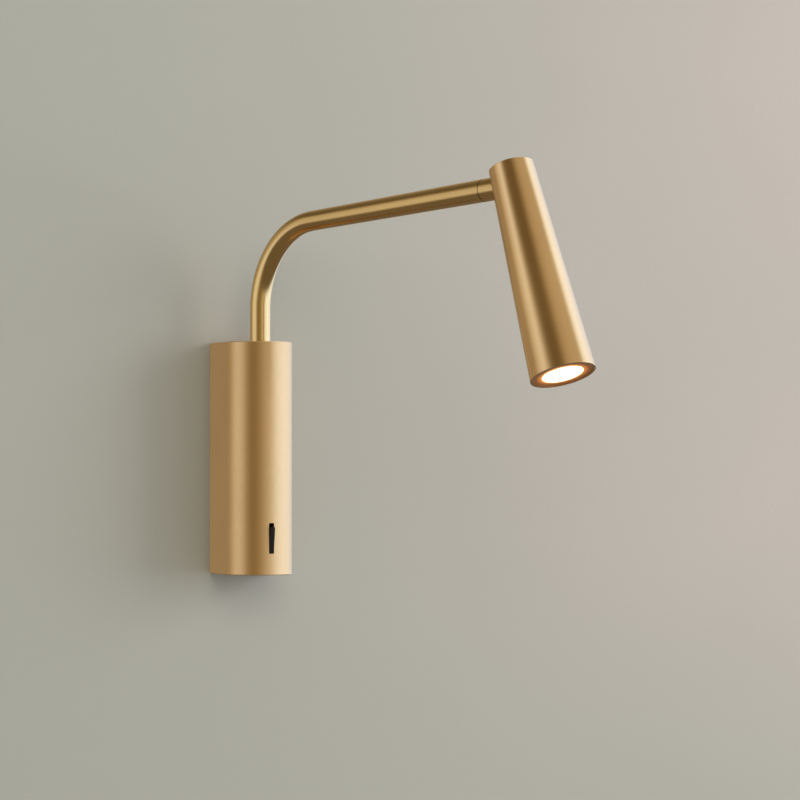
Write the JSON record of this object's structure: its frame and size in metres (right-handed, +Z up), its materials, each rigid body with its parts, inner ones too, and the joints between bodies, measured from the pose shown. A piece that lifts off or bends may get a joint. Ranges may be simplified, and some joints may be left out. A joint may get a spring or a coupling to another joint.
{
  "type": "wall reading lamp",
  "caption": "Brass bedside wall reading lamp with a switch in its upright housing, a bent arm that swings and a cone head that turns and tilts.",
  "frame": {"origin": "on the wall, midway between the two wall screws, at the middle of the housing's height", "axes": "+Z up, +Y into the wall, +X to the right of someone who faces the wall"},
  "size_m": [0.1081, 0.2896, 0.2323],
  "materials": {
    "satin_brass": "satin brushed brass, lacquered",
    "steel": "zinc plated steel",
    "spring_steel": "plain spring steel",
    "earth_brass": "plain turned brass",
    "black_plastic": "matt black moulded plastic",
    "white_plastic": "white moulded plastic",
    "natural_nylon": "natural nylon",
    "black_rubber": "soft black rubber",
    "white_sheath": "soft white cable sheath",
    "brown_sheath": "brown single cores",
    "board_green": "coated circuit board",
    "component_dark": "dark moulded component",
    "component_yellow": "yellow wound component",
    "aluminium": "turned aluminium",
    "board_white": "white coated aluminium board",
    "phosphor": "yellow phosphor over the light source",
    "frosted_glass": "frosted glass",
    "reflector_white": "white reflector"
  },
  "bodies": {
    "housing": {"housing_shell": "satin_brass", "housing_top_plate": "satin_brass", "housing_bottom_plate": "satin_brass", "locating_pin": "steel", "wall_bracket": "steel", "fixing_screw": "earth_brass", "cable_grommet": "black_rubber", "earth_washer": "earth_brass", "earth_screw": "earth_brass", "component_carrier": "steel", "carrier_screws": "steel", "driver_case": "white_plastic", "driver_cover": "white_plastic", "driver_board": "board_green", "driver_transformer": "component_yellow", "driver_capacitor": "component_dark", "driver_chokes": "component_dark", "driver_screws": "steel", "driver_lead": "white_sheath", "terminal_block": "white_plastic", "terminal_screws": "steel", "switch_cores": "brown_sheath", "switch_body": "black_plastic", "switch_terminals": "earth_brass", "switch_holder": "natural_nylon", "holder_screws": "steel", "switch_pivot_pin": "steel", "swivel_bush": "natural_nylon", "stop_pin": "steel"},
    "rocker": {"switch_rocker": "black_plastic"},
    "arm": {"arm_tube": "satin_brass", "thrust_washer": "black_plastic", "swivel_nipple": "earth_brass", "stop_collar": "steel", "friction_washer": "natural_nylon", "spring_washer": "spring_steel", "lock_nuts": "earth_brass", "arm_lead": "white_sheath", "arm_end_bush": "natural_nylon", "seam_washer": "black_plastic"},
    "knuckle": {"knuckle": "satin_brass", "knuckle_lead": "white_sheath", "spin_friction_washer": "spring_steel", "spin_spring_washer": "spring_steel", "spin_nut": "steel"},
    "head": {"cone_shell": "satin_brass", "top_cap": "satin_brass", "cap_screws": "earth_brass", "pivot_block": "aluminium", "pivot_pin": "steel", "tilt_washers": "natural_nylon", "front_bezel": "satin_brass", "lens": "frosted_glass", "lens_gasket": "black_rubber", "reflector": "reflector_white", "led_board": "board_white", "led_emitter": "phosphor", "board_screws": "steel", "heat_sink": "aluminium", "head_lead": "white_sheath"}
  },
  "joints": [
    {"name": "arm_swivel", "type": "hinge", "parent": "housing", "child": "arm", "pos_m": [0, -0.029, 0.06875], "axis": [0, 0, 1], "range_deg": [-107.1, 72.9]},
    {"name": "head_spin", "type": "hinge", "parent": "arm", "child": "knuckle", "pos_m": [0.0627, -0.23281, 0.14872], "axis": [0.2935, -0.9539, 0.0628], "range_deg": [-165, 165]},
    {"name": "head_tilt", "type": "hinge", "parent": "knuckle", "child": "head", "pos_m": [0.0627, -0.23281, 0.14872], "axis": [-0.9557, -0.2911, 0.0435], "range_deg": [-37.4, 0]},
    {"name": "switch_tip", "type": "hinge", "parent": "housing", "child": "rocker", "pos_m": [0, -0.04, -0.04715], "axis": [1, 0, 0], "range_deg": [-16, 0]}
  ]
}
